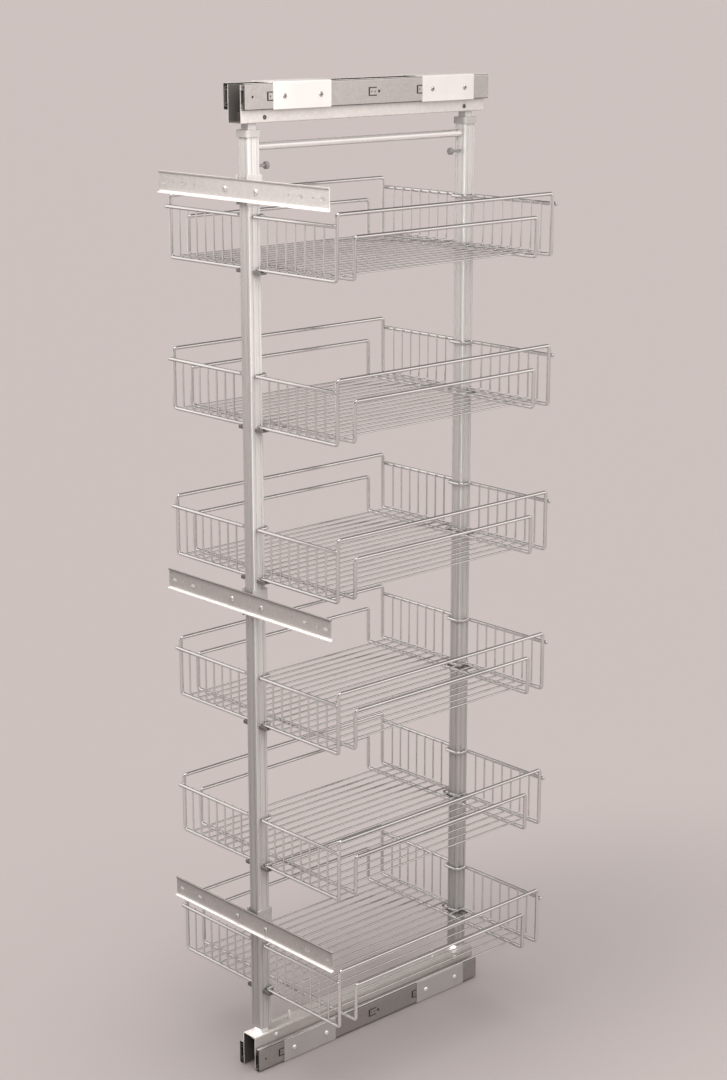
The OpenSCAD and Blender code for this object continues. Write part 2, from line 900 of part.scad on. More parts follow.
// Strip with a deep lower flange and a small upper lip, both to the front
module door_bracket(z) {
    color([0.62, 0.62, 0.61])
        translate([0, -bracket_y, z])
            difference() {
                along_x(bracket_len) {
                    translate([-bracket_s, -bracket_h / 2])
                        square([bracket_s, bracket_h]);
                    translate([-flange_y, -bracket_h / 2])
                        square([flange_y, bracket_s]);
                    translate([-lip_y, bracket_h / 2 - bracket_s])
                        square([lip_y, bracket_s]);
                }
                for (s = [-1, 1]) {
                    for (x = [slot_out_x, slot_in_x])
                        translate([s * x, 0, 0])
                            slot(slot_len, slot_w);
                    for (x = [small_out_x, small_in_x])
                        translate([s * x, 0, 0])
                            pin_y(small_d, -4 * bracket_s, 4 * bracket_s);
                    translate([s * clamp_bolt_x, 0, 0])
                        pin_y(clamp_bolt_d + 2 * thread_gap, -4 * bracket_s, 4 * bracket_s);
                }
            }
}

// Strap round the front post with ears behind the bracket
module clamp_form(z) {
    half = post_w / 2 + clip_gap;
    translate([0, 0, z])
        difference() {
            union() {
                translate([-half - bracket_s, -bracket_y, -clamp_h / 2])
                    cube([2 * (half + bracket_s), clamp_off + post_w + clip_gap + bracket_s, clamp_h]);
                translate([-clamp_bolt_x - clamp_edge, -bracket_y, -ear_h / 2])
                    cube([2 * (clamp_bolt_x + clamp_edge), bracket_s, ear_h]);
            }
            translate([-half, -bracket_y - post_w, -clamp_h])
                cube([2 * half, clamp_off + 2 * post_w + clip_gap, 2 * clamp_h]);
            for (s = [-1, 1])
                translate([s * clamp_bolt_x, -bracket_y, 0])
                    pin_y(clamp_bolt_d + 2 * thread_gap, -4 * bracket_s, 4 * bracket_s);
        }
}

bracket_levels = [bracket_low_z, bracket_mid_z, bracket_top_z];

module bracket_clamps() {
    color([0.6, 0.6, 0.59])
        for (z = bracket_levels)
            clamp_form(z);
}

// Domed bolts with hexagon nuts behind the ears
module bracket_bolts() {
    color([0.8, 0.8, 0.79])
        for (z = bracket_levels, s = [-1, 1])
            translate([s * clamp_bolt_x, -bracket_y - bracket_s, z]) {
                rotate([90, 0, 0])
                    pan_head(clamp_head_d, clamp_head_h);
                pin_y(clamp_bolt_d, -clamp_head_h / 2, 2 * bracket_s + clamp_head_h + 2);
                translate([0, 2 * bracket_s, 0])
                    rotate([-90, 0, 0])
                        cylinder(d = clamp_head_d, h = clamp_head_h, $fn = 6);
            }
}

saddle_bottom(-saddle_front);  // saddle_bottom_front
saddle_bottom(saddle_rear);  // saddle_bottom_rear
saddle_screws(slide_z0);  // saddle_screws_bottom
cabinet_member(-1, slide_z0);  // cabinet_member_bottom_left
cabinet_member(1, slide_z0);  // cabinet_member_bottom_right
ball_cages(slide_z0, outer_ball_u, outer_ball_v);  // ball_cages_bottom_outer
middle_member(-1, slide_z0);  // middle_member_bottom_left
middle_member(1, slide_z0);  // middle_member_bottom_right
ball_cages(slide_z0, inner_ball_u, inner_ball_v);  // ball_cages_bottom_inner
frame_member(-1, slide_z0);  // frame_member_bottom_left
frame_member(1, slide_z0);  // frame_member_bottom_right
bottom_channel();
foot_front();
foot_rear();
foot_screws();
post_front();
post_rear();
post_collars();
cross_bar();
thumb_screw_front();
thumb_screw_rear();
basket_floor(tier_z(0));  // basket_1_floor
basket_grilles(tier_z(0));  // basket_1_grilles
basket_rails(tier_z(0));  // basket_1_rails
basket_floor(tier_z(1));  // basket_2_floor
basket_grilles(tier_z(1));  // basket_2_grilles
basket_rails(tier_z(1));  // basket_2_rails
basket_floor(tier_z(2));  // basket_3_floor
basket_grilles(tier_z(2));  // basket_3_grilles
basket_rails(tier_z(2));  // basket_3_rails
basket_floor(tier_z(3));  // basket_4_floor
basket_grilles(tier_z(3));  // basket_4_grilles
basket_rails(tier_z(3));  // basket_4_rails
basket_floor(tier_z(4));  // basket_5_floor
basket_grilles(tier_z(4));  // basket_5_grilles
basket_rails(tier_z(4));  // basket_5_rails
basket_floor(tier_z(5));  // basket_6_floor
basket_grilles(tier_z(5));  // basket_6_grilles
basket_rails(tier_z(5));  // basket_6_rails
basket_clips();
door_bracket(bracket_low_z);  // door_bracket_low
door_bracket(bracket_mid_z);  // door_bracket_middle
door_bracket(bracket_top_z);  // door_bracket_top
bracket_clamps();
bracket_bolts();
tube_front();
tube_rear();
top_channel();
tube_screws();
frame_member(-1, slide_z1);  // frame_member_top_left
frame_member(1, slide_z1);  // frame_member_top_right
ball_cages(slide_z1, inner_ball_u, inner_ball_v);  // ball_cages_top_inner
middle_member(-1, slide_z1);  // middle_member_top_left
middle_member(1, slide_z1);  // middle_member_top_right
ball_cages(slide_z1, outer_ball_u, outer_ball_v);  // ball_cages_top_outer
cabinet_member(-1, slide_z1);  // cabinet_member_top_left
cabinet_member(1, slide_z1);  // cabinet_member_top_right
saddle_top(-saddle_front);  // saddle_top_front
saddle_top(saddle_rear);  // saddle_top_rear
saddle_screws(slide_z1);  // saddle_screws_top
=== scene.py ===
"""Looks of the pull-out pantry frame.

Chrome wire baskets on two aluminium posts, between ball-bearing slides at the floor and at the top.
All lengths are in metres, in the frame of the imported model: X across, -Y the way it pulls out, Z up.
"""

import math

import bmesh
import bpy
from mathutils import Matrix, Vector

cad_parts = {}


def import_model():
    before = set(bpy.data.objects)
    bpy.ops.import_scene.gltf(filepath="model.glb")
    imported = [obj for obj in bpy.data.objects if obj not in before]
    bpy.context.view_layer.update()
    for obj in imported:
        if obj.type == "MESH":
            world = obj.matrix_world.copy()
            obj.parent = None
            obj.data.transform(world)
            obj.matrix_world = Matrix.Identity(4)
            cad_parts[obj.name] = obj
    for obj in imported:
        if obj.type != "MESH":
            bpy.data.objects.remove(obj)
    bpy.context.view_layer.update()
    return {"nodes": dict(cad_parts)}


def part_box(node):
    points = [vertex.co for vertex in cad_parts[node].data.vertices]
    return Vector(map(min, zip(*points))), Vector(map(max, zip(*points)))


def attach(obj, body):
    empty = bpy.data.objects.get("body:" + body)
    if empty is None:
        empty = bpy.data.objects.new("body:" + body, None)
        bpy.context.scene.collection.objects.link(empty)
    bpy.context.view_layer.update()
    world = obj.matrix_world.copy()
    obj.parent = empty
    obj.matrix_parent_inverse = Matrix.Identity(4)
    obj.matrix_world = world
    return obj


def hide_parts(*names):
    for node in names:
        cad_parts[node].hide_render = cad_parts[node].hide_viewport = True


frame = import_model()
nodes = frame["nodes"]
MM = 0.001
CHANNEL_WALL = 1.5 * MM


def middle(node):
    """Middle of a node's box."""
    low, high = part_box(node)
    return (low + high) / 2


# Materials

# Most values of a noise lie between these
NOISE_LOW, NOISE_HIGH = 0.3, 0.7
# Places of the colour sockets of a mix node
COLOR_A, COLOR_B, COLOR_OUT = 6, 7, 2


class Shader:
    """One procedural material: a principled shader and the nodes that vary it over the surface."""

    def __init__(self, name, color, metallic, roughness):
        self.mat = bpy.data.materials.new(name)
        self.mat.use_nodes = True
        self.tree = self.mat.node_tree
        self.bsdf = self.tree.nodes["Principled BSDF"]
        self.bsdf.inputs["Base Color"].default_value = (*color, 1)
        self.bsdf.inputs["Metallic"].default_value = metallic
        self.bsdf.inputs["Roughness"].default_value = roughness
        self.coords = self.node("ShaderNodeTexCoord").outputs["Object"]
        self.normal = None

    def node(self, kind, **values):
        made = self.tree.nodes.new(kind)
        for key, value in values.items():
            setattr(made, key, value)
        return made

    def link(self, a, b):
        self.tree.links.new(a, b)

    def noise(self, scale, detail=3.0, rough=0.55):
        """Noise in cycles per metre, with one scale or with its own along X, Y and Z."""
        mapping = self.node("ShaderNodeMapping")
        mapping.inputs["Scale"].default_value = scale if isinstance(scale, tuple) else (scale,) * 3
        self.link(self.coords, mapping.inputs["Vector"])
        noise = self.node("ShaderNodeTexNoise")
        noise.inputs["Scale"].default_value = 1.0
        noise.inputs["Detail"].default_value = detail
        noise.inputs["Roughness"].default_value = rough
        self.link(mapping.outputs["Vector"], noise.inputs["Vector"])
        return noise.outputs["Fac"]

    def cells(self, scale):
        """Random grey per crystal, as on zinc, with this many crystals per metre."""
        voronoi = self.node("ShaderNodeTexVoronoi")
        voronoi.inputs["Scale"].default_value = scale
        self.link(self.coords, voronoi.inputs["Vector"])
        grey = self.node("ShaderNodeRGBToBW")
        self.link(voronoi.outputs["Color"], grey.inputs["Color"])
        return grey.outputs["Val"]

    def place(self, axis):
        split = self.node("ShaderNodeSeparateXYZ")
        self.link(self.coords, split.inputs["Vector"])
        return split.outputs[axis]

    def math(self, operation, a, b=0.0):
        """Math node; a float is set on its socket, anything else is linked to it."""
        made = self.node("ShaderNodeMath", operation=operation)
        for value, socket in zip((a, b), made.inputs):
            if isinstance(value, float):
                socket.default_value = value
            else:
                self.link(value, socket)
        return made.outputs[0]

    def span(self, value, start, end, low, high, kind="LINEAR"):
        """Goes from low to high while the value goes from start to end, and stays there."""
        made = self.node("ShaderNodeMapRange", interpolation_type=kind)
        for name, number in (("From Min", start), ("From Max", end), ("To Min", low), ("To Max", high)):
            made.inputs[name].default_value = number
        self.link(value, made.inputs["Value"])
        return made.outputs["Result"]

    def tint(self, fac, low, high, start=NOISE_LOW, end=NOISE_HIGH):
        """Base colour from low to high along a value."""
        ramp = self.node("ShaderNodeValToRGB")
        for stop, position, color in zip(ramp.color_ramp.elements, (start, end), (low, high)):
            stop.position = position
            stop.color = (*color, 1)
        self.link(fac, ramp.inputs["Fac"])
        self.link(ramp.outputs["Color"], self.bsdf.inputs["Base Color"])

    def recolor(self, mask, color):
        """Another base colour where the mask is one."""
        mix = self.node("ShaderNodeMix", data_type="RGBA")
        self.link(mask, mix.inputs["Factor"])
        self.link(self.bsdf.inputs["Base Color"].links[0].from_socket, mix.inputs[COLOR_A])
        mix.inputs[COLOR_B].default_value = (*color, 1)
        self.link(mix.outputs[COLOR_OUT], self.bsdf.inputs["Base Color"])

    def gloss(self, fac, low, high):
        """Roughness from low to high along a noise."""
        self.link(self.span(fac, NOISE_LOW, NOISE_HIGH, low, high), self.bsdf.inputs["Roughness"])

    def soft_edges(self, radius):
        """Rounds sharp edges in the light by this radius."""
        bevel = self.node("ShaderNodeBevel", samples=4)
        bevel.inputs["Radius"].default_value = radius
        self.normal = bevel.outputs["Normal"]
        self.link(self.normal, self.bsdf.inputs["Normal"])

    def bump(self, fac, height, strength):
        """Relief of this height."""
        bump = self.node("ShaderNodeBump")
        bump.inputs["Strength"].default_value = strength
        bump.inputs["Distance"].default_value = height
        self.link(fac, bump.inputs["Height"])
        if self.normal:
            self.link(self.normal, bump.inputs["Normal"])
        self.normal = bump.outputs["Normal"]
        self.link(self.normal, self.bsdf.inputs["Normal"])


# Grain of metal in cycles per metre along X, Y and Z
ALONG_X = (4, 400, 400)
ALONG_Y = (40, 4, 400)
CAGE_GRAIN = (200, 40, 200)
FINE_GRAIN = (300, 300, 300)
# Tint of the reflections at the rims of round chrome
DARK_RIM = (0.2, 0.2, 0.2, 1)


def chrome(name, low, high, metallic=1.0):
    s = Shader(name, high, metallic, roughness=0.12)
    s.tint(s.noise(9), low, high)
    s.gloss(s.noise(60), low=0.08, high=0.16)
    s.bsdf.inputs["Specular Tint"].default_value = DARK_RIM
    s.bump(s.noise(700), height=0.02 * MM, strength=0.4)
    return s.mat


def satin_aluminium(name):
    """Drawn aluminium, with its grain along Z."""
    s = Shader(name, (0.48, 0.47, 0.46), metallic=0.3, roughness=0.3)
    s.soft_edges(0.4 * MM)
    s.tint(s.noise((260, 260, 2)), (0.405, 0.396, 0.387), (0.457, 0.448, 0.439))
    s.gloss(s.noise((900, 900, 6)), low=0.24, high=0.36)
    s.bump(s.noise((1800, 1800, 12)), height=0.03 * MM, strength=0.5)
    return s


def tube_aluminium_painted_shade():
    """Aluminium tube, painted near black as shade from the inner face of the top channel's web up, where its
    head sits in the channel.
    """
    s = satin_aluminium("tube_aluminium_painted_shade")
    head_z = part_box("top_channel")[0].z + CHANNEL_WALL
    # Painted shade: near black on the tube's head inside the top channel
    s.recolor(s.math("GREATER_THAN", s.place("Z"), head_z), color=(0.06, 0.055, 0.05))
    return s.mat


def zinc(name, low, high, grain, metallic=0.6):
    s = Shader(name, low, metallic, roughness=0.36)
    s.soft_edges(0.4 * MM)
    s.tint(s.cells(240), low, high, start=0.1, end=0.9)
    s.gloss(s.noise(grain, detail=4), low=0.28, high=0.46)
    s.bump(s.noise(1500), height=0.03 * MM, strength=0.4)
    return s


def channel(name, web):
    """Light outside, with painted shade inside: near black on the inner faces deeper than a skin; web is the
    height of the outer face of the web.
    """
    inside_x, skin = 14.2 * MM, 0.7 * MM
    s = zinc(name, (0.475, 0.455, 0.44), (0.525, 0.505, 0.49), ALONG_Y, metallic=0.4)
    inner = s.math("LESS_THAN", s.math("ABSOLUTE", s.place("X")), inside_x)
    depth = s.math("ABSOLUTE", s.math("SUBTRACT", s.place("Z"), web))
    deep = s.math("GREATER_THAN", depth, skin)
    # Painted shade: near black on the faces inside the channel
    s.recolor(s.math("MULTIPLY", inner, deep), color=(0.09, 0.083, 0.077))
    return s.mat


def slide(name, node):
    """Light outside, with painted shade near black inside and in the cuts; the node is the member on the +X
    side.
    """
    skin, rim = 0.3 * MM, 0.4 * MM
    s = zinc(name, (0.295, 0.28, 0.27), (0.325, 0.31, 0.3), ALONG_Y, metallic=0.4)
    low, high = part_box(node)
    rise = s.math("ABSOLUTE", s.math("SUBTRACT", s.place("Z"), (low.z + high.z) / 2))
    deep = s.math("LESS_THAN", s.math("ABSOLUTE", s.place("X")), high.x - skin)
    inner = s.math("LESS_THAN", rise, (high.z - low.z) / 2 - rim)
    # Painted shade: near black inside the member and on the walls of its cuts
    s.recolor(s.math("MULTIPLY", inner, deep), color=(0.04, 0.037, 0.035))
    return s.mat


def strip(name, node, painted_lip_shade):
    """Door strip: a painted highlight along its lower flange, and painted shade along its upper lip."""
    lip, painted_light_low, painted_light_high = 2.2 * MM, 3 * MM, 5.5 * MM
    s = zinc(name, (0.45, 0.435, 0.425), (0.5, 0.485, 0.475), ALONG_X, metallic=0.3)
    low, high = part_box(node)
    # Painted shade: darker along the upper lip
    s.recolor(s.math("GREATER_THAN", s.place("Z"), high.z - lip), painted_lip_shade)
    # Painted highlight: near white along the lower flange, where light from above falls
    painted_flange_light = s.span(s.place("Z"), low.z + painted_light_low, low.z + painted_light_high, 1, 0, "SMOOTHSTEP")
    s.recolor(painted_flange_light, color=(0.88, 0.86, 0.84))
    return s.mat


def paint(name, low, high):
    s = Shader(name, low, metallic=0.0, roughness=0.42)
    s.soft_edges(0.5 * MM)
    s.tint(s.noise(14), low, high)
    s.gloss(s.noise(120), low=0.36, high=0.5)
    s.bump(s.noise(900), height=0.06 * MM, strength=0.5)
    return s.mat


def plastic(name, low, high, rough):
    s = Shader(name, low, metallic=0.0, roughness=rough)
    s.soft_edges(0.5 * MM)
    s.tint(s.noise(40), low, high)
    s.gloss(s.noise(200), low=rough - 0.06, high=rough + 0.08)
    s.bump(s.noise(1600), height=0.05 * MM, strength=0.5)
    return s.mat


CHROME = chrome("chrome_wire", (0.72, 0.715, 0.71), (0.85, 0.845, 0.84))
BAR = chrome("chrome_bar", (0.9, 0.89, 0.88), (0.96, 0.955, 0.95), metallic=0.85)
ALUMINIUM = satin_aluminium("satin_aluminium").mat
TUBE = tube_aluminium_painted_shade()
SLIDES = {f"cabinet_member_{level}": slide(f"slide_zinc_{level}", f"cabinet_member_{level}_right")
          for level in ("top", "bottom")}
# Middle and frame members of the slides: the same zinc, painted dark as shade between the members
SHADED_INNER = zinc("member_zinc_painted_shade", (0.09, 0.086, 0.083), (0.12, 0.115, 0.111), ALONG_Y, metallic=0.5).mat
CHANNELS = {"top_channel": channel("top_channel_zinc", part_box("top_channel")[0].z),
            "bottom_channel": channel("bottom_channel_zinc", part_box("bottom_channel")[1].z)}
# Lip colours are painted shade, lighter on the top strip, which is lit more
STRIPS = {f"door_bracket_{level}": strip(f"strip_zinc_{level}", f"door_bracket_{level}", painted_lip_shade)
          for level, painted_lip_shade in (("low", (0.2, 0.192, 0.186)),
                                   ("middle", (0.2, 0.192, 0.186)),
                                   ("top", (0.36, 0.346, 0.336)))}
CLAMP = zinc("clamp_zinc", (0.44, 0.43, 0.42), (0.49, 0.48, 0.47), ALONG_X, metallic=0.3).mat
THUMB = zinc("thumb_steel", (0.26, 0.255, 0.25), (0.33, 0.325, 0.32), FINE_GRAIN).mat
DARK = zinc("dark_screw", (0.1, 0.097, 0.094), (0.14, 0.136, 0.132), FINE_GRAIN).mat
SCREW = zinc("screw_zinc", (0.5, 0.49, 0.48), (0.6, 0.59, 0.58), FINE_GRAIN).mat
# Near white screws low on the frame: a painted highlight; the same saddle screws at the top are chrome
PALE_PAINTED_HIGHLIGHT = zinc("pale_screw_painted_highlight", (0.84, 0.83, 0.82), (0.92, 0.91, 0.9), FINE_GRAIN, metallic=0.2).mat
BALL = zinc("cage_steel", (0.1, 0.097, 0.094), (0.14, 0.136, 0.132), CAGE_GRAIN).mat
SADDLE = paint("saddle_paint", (0.39, 0.38, 0.37), (0.43, 0.42, 0.41))
HEAD = chrome("screw_chrome", (0.62, 0.61, 0.6), (0.74, 0.735, 0.73))
FOOT = plastic("foot_plastic", (0.92, 0.915, 0.91), (0.95, 0.945, 0.94), rough=0.35)
COLLAR = plastic("collar_plastic", (0.25, 0.24, 0.23), (0.3, 0.29, 0.28), rough=0.4)
CLIP = plastic("clip_plastic", (0.13, 0.124, 0.118), (0.17, 0.163, 0.156), rough=0.42)

# A node takes the first look that its name starts with
LOOKS = {
    "thumb_screw": THUMB,
    "saddle_screws": SCREW,
    "foot_screws": SCREW,
    "tube_screws": SCREW,
    "bracket_bolts": SCREW,
    "saddle_": SADDLE,
    "ball_cages": BALL,
    "middle_member": SHADED_INNER,
    "frame_member": SHADED_INNER,
    "tube_": TUBE,
    "foot_": FOOT,
    "post_collars": COLLAR,
    "post_": ALUMINIUM,
    "cross_bar": BAR,
    "basket_clips": CLIP,
    "basket_": CHROME,
    "bracket_clamps": CLAMP,
    **SLIDES,
    **CHANNELS,
    **STRIPS,
}

for name, node in nodes.items():
    node.data.materials.clear()
    node.data.materials.append(next(look for start, look in LOOKS.items() if name.startswith(start)))


# Wire and screw forms

# Angles at which the rings of a rounded wire end and of a weld bead lie, short of the poles
END_TILTS = (0, 0.5, 1.0, 1.35)
BEAD_TILTS = [math.pi * k / 4.6 for k in range(-2, 3)]
# Faces that meet at more than this show an edge
SHARP = math.radians(41)
# Radius of the flat at the axis of a turned form
AXIS_R = 0.1 * MM


def circle(sides):
    return [2 * math.pi * k / sides for k in range(sides)]


class Forms:
    """Collects closed surfaces and makes one piece of them."""

    def __init__(self):
        self.verts = []
        self.faces = []

    def rings(self, rings):
        """Skin over rings of equal count, closed at both ends."""
        start, count = len(self.verts), len(rings[0])
        for ring in rings:
            self.verts.extend(ring)
        for i in range(len(rings) - 1):
            for k in range(count):
                a = start + i * count + k
                b = start + i * count + (k + 1) % count
                self.faces.append((a, b, b + count, a + count))
        last = start + (len(rings) - 1) * count
        self.faces.append(tuple(range(start + count - 1, start - 1, -1)))
        self.faces.append(tuple(range(last, last + count)))

    def tube(self, path, radius, sides, round_ends=False):
        """Round wire along a path; free ends are rounded inward, so the length stays."""
        path = [Vector(p) for p in path]
        steps = [(b - a).normalized() for a, b in zip(path, path[1:])]
        ahead = [steps[0]] + [(a + b).normalized() for a, b in zip(steps, steps[1:])] + [steps[-1]]
        side = ahead[0].orthogonal().normalized()
        sections = []
        for p, t in zip(path, ahead):
            side = (side - t * side.dot(t)).normalized()
            sections.append((p, side, t.cross(side), radius))
        if round_ends:
            ends = []
            for (p, u, v, r), t in ((sections[0], -ahead[0]), (sections[-1], ahead[-1])):
                ends.append([(p - t * r * (1 - math.sin(a)), u, v, r * math.cos(a)) for a in END_TILTS])
            sections = ends[0][::-1] + sections[1:-1] + ends[1]
        turn = circle(sides)
        self.rings([[p + r * (math.cos(a) * u + math.sin(a) * v) for a in turn] for p, u, v, r in sections])

    def bead(self, centre, radii, sides=8):
        """Flattened ball, as a weld leaves."""
        turn = circle(sides)
        rings = []
        for tilt in BEAD_TILTS:
            x, y = radii[0] * math.cos(tilt), radii[1] * math.cos(tilt)
            z = radii[2] * math.sin(tilt)
            rings.append([Vector(centre) + Vector((x * math.cos(a), y * math.sin(a), z)) for a in turn])
        self.rings(rings)

    def lathe(self, profile, sides, pose=Matrix.Identity(4)):
        """Turned form from (radius, height) pairs, about the pose's Z axis."""
        turn = circle(sides)
        self.rings([[pose @ Vector((r * math.cos(a), r * math.sin(a), h)) for a in turn] for r, h in profile])

    def copy(self, mesh, pose):
        start = len(self.verts)
        self.verts.extend(pose @ v.co for v in mesh.vertices)
        self.faces.extend(tuple(start + i for i in p.vertices) for p in mesh.polygons)

    def mesh(self, name):
        made = bpy.data.meshes.new(name)
        made.from_pydata([tuple(v) for v in self.verts], [], self.faces)
        made.validate()
        made.polygons.foreach_set("use_smooth", [True] * len(made.polygons))
        made.set_sharp_from_angle(angle=SHARP)
        return made

    def piece(self, name, material, body, slot, *replaced):
        mesh = self.mesh(name)
        mesh.materials.append(material)
        made = bpy.data.objects.new(name, mesh)
        bpy.context.scene.collection.objects.link(made)
        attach(made, body)
        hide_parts(*replaced)
        return made


def rounded(points, radius, steps=7):
    """Path through square corners with bends of this radius."""
    apart = 0.001 * MM
    points = [Vector(p) for p in points]
    path = [points[0]]
    for a, b, c in zip(points, points[1:], points[2:]):
        u, v = (b - a).normalized(), (c - b).normalized()
        for k in range(steps + 1):
            t = math.pi / 2 * k / steps
            path.append(b - radius * u + radius * v + radius * (math.sin(t) * u - math.cos(t) * v))
    path.append(points[-1])
    return [p for i, p in enumerate(path) if i == 0 or (p - path[i - 1]).length > apart]


# Baskets: their count, the wires' radii, the sides of their sections and their bends
TIERS = 6
MAIN, MAIN_SIDES, BEND = 3 * MM, 14, 5 * MM
THIN, THIN_SIDES, THIN_BEND, THIN_STEPS = 1.5 * MM, 10, 3 * MM, 5
# Middles of the side wires, of the end wires at the posts and of the second rails
SIDE_X, POST_Y = 200 * MM, 235 * MM
RAIL_IN = 36 * MM
RAIL_Y = POST_Y - RAIL_IN
# Heights over the middle of the floor's main wires
GUARD_H, RAIL_H, GRILLE_H = 99 * MM, 63 * MM, 82 * MM
# Steps of the main wires round the inner faces of the posts
POST_HALF, JOG_GAP, JOG_BEND = 12 * MM, 0.5 * MM, 5 * MM
JOG_X = POST_HALF + JOG_GAP + MAIN
JOG_Y = POST_Y - JOG_X
# Top wires of the grilles, outside the rails
TOP_OVER, CORNER_GAP = 6 * MM, 0.02 * MM
TOP_X = SIDE_X + TOP_OVER
TOP_Y = POST_Y + 2 * MAIN + CORNER_GAP
# Thin wires sink a little into the main wires; those before the posts have no upright
WELD_SINK = 0.25 * MM
THIN_Z = MAIN + THIN - WELD_SINK
GRILLE_Y = TOP_Y - THIN_Z
PITCH, COUNT, FIRST_UPRIGHT = 21.8 * MM, 8, 2
FREE_END = 1 * MM
# Weld beads: height and spread, between thin and main wires and between main wires
WELD = 1.3 * MM
SPREAD, MAIN_SPREAD = 1.7 * WELD, 2 * WELD


def jog(x, y, z, s):
    """Main wire from side to side that steps round the inner face of a post; s is the end."""
    flat = ((-x, y), (-JOG_X, y), (-JOG_X, JOG_Y), (JOG_X, JOG_Y), (JOG_X, y), (x, y))
    return rounded([(px, s * py, z) for px, py in flat], JOG_BEND)


def basket_floor(z):
    f = Forms()
    side = SIDE_X - BEND
    for s in (-1, 1):
        f.tube(jog(side, POST_Y, z, s), MAIN, MAIN_SIDES)
        f.tube([(-side, s * RAIL_Y, z), (side, s * RAIL_Y, z)], MAIN, MAIN_SIDES)
    for i in range(-COUNT, COUNT + 1):
        x = i * PITCH
        end = JOG_Y if i == 0 else POST_Y
        free = abs(i) < FIRST_UPRIGHT
        reach = end + FREE_END if free else GRILLE_Y - THIN_BEND
        f.tube([(x, -reach, z + THIN_Z), (x, reach, z + THIN_Z)], THIN, THIN_SIDES, free)
        for y in (-end, -RAIL_Y, RAIL_Y, end):
            f.bead((x, y, z + MAIN), (SPREAD, SPREAD, WELD))
    return f


def basket_grilles(z):
    f = Forms()
    top = z + GRILLE_H
    for s in (-1, 1):
        f.tube(jog(TOP_X, TOP_Y, top, s), MAIN, MAIN_SIDES, round_ends=True)
        for x in (-SIDE_X, SIDE_X):
            f.bead((x, s * (POST_Y + MAIN), top), (MAIN_SPREAD, WELD, MAIN_SPREAD))
        for i in range(FIRST_UPRIGHT, COUNT + 1):
            for x in (-i * PITCH, i * PITCH):
                line = [(x, s * (GRILLE_Y - THIN_BEND), z + THIN_Z), (x, s * GRILLE_Y, z + THIN_Z),
                        (x, s * GRILLE_Y, top + MAIN / 2)]
                f.tube(rounded(line, THIN_BEND, THIN_STEPS), THIN, THIN_SIDES)
                f.bead((x, s * (TOP_Y - MAIN), top), (SPREAD, WELD, SPREAD))
    return f


def basket_rails(z):
    f = Forms()
    for x in (-SIDE_X, SIDE_X):
        foot = x - math.copysign(BEND, x)
        for y, h in ((POST_Y, GUARD_H), (RAIL_Y, RAIL_H)):
            line = [(foot, -y, z), (x, -y, z), (x, -y, z + h), (x, y, z + h), (x, y, z), (foot, y, z)]
            f.tube(rounded(line, BEND), MAIN, MAIN_SIDES)
    return f


wires = []
for tier in range(1, TIERS + 1):
    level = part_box(f"basket_{tier}_rails")[0].z + MAIN
    for kind, make in (("floor", basket_floor), ("grilles", basket_grilles), ("rails", basket_rails)):
        node = f"basket_{tier}_{kind}"
        wires.append(make(level).piece(node + "_wires", CHROME, "frame", "chrome_wire", node))


# Pan heads: (radius, height) from the seat to the top, as shares of diameter and height
HEAD_PROFILE = ((0.5, 0), (0.5, 0.35), (0.46, 0.66), (0.37, 0.9), (0.25, 1), (0.02, 1))
# Cross recess: half length and half width as shares of the diameter, and (height, growth) at its ends
RECESS_X, RECESS_Y = 0.24, 0.055
RECESS_ENDS = ((0.35, 0.75), (1.4, 1.1))
SCREW_SIDES = 28


def cross_screw(d, h, shank_d, shank):
    """Pan head with a cross recess on a plain shank; the head's seat is at z = 0."""
    tip_in, tip_up = 0.3 * MM, 0.4 * MM
    r = shank_d / 2
    stem = [(AXIS_R, -shank), (r - tip_in, -shank), (r, tip_up - shank), (r, 0)]
    head = Forms()
    head.lathe(stem + [(a * d, b * h) for a, b in HEAD_PROFILE], SCREW_SIDES)
    tool = Forms()
    for turn in (0, math.pi / 2):
        pose = Matrix.Rotation(turn, 4, "Z")
        rings = []
        for height, grow in RECESS_ENDS:
            x, y, z = RECESS_X * d * grow, RECESS_Y * d * grow, height * h
            rings.append([pose @ Vector(p) for p in ((x, y, z), (-x, y, z), (-x, -y, z), (x, -y, z))])
        tool.rings(rings)
    pair = [bpy.data.objects.new(n, f.mesh(n)) for n, f in (("head", head), ("tool", tool))]
    for o in pair:
        bpy.context.scene.collection.objects.link(o)
    cut = pair[0].modifiers.new("recess", "BOOLEAN")
    cut.object, cut.solver, cut.use_self = pair[1], "EXACT", True
    bpy.context.view_layer.update()
    made = bpy.data.meshes.new_from_object(pair[0].evaluated_get(bpy.context.evaluated_depsgraph_get()))
    for o in pair:
        bpy.data.objects.remove(o)
    return made


def aimed(place, axis, spin=0.0):
    """Pose whose Z axis points along axis, turned by spin."""
    turn = Vector(axis).to_track_quat("Z", "Y").to_matrix().to_4x4()
    return Matrix.Translation(place) @ turn @ Matrix.Rotation(spin, 4, "Z")


# Places of the screws from the middle of a plate, of the channels and of a strip
PLATE_SCREW_Y, SIDE_SCREW_Y, STUD_Y, BOLT_X = 37 * MM, 216 * MM, 173 * MM, 37 * MM
# Height of the blocks of feet and tubes in the channels, and of the studs over the web
BLOCK_H, STUD_OUT = 14 * MM, 14 * MM


def saddle_screws(level):
    """Two in each plate of the saddles, half way up the slides."""
    f = Forms()
    screw = cross_screw(d=8 * MM, h=2 * MM, shank_d=4 * MM, shank=2.8 * MM)
    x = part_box(f"saddle_{level}_front")[1].x
    z = middle(f"cabinet_member_{level}_right").z
    plates = [middle(f"saddle_{level}_{end}").y for end in ("front", "rear")]
    places = [(side, y + k) for side in (-1, 1) for y in plates for k in (-PLATE_SCREW_Y, PLATE_SCREW_Y)]
    for n, (side, y) in enumerate(places):
        f.copy(screw, aimed((side * x, y, z), (side, 0, 0), spin=0.4 * n))
    return f


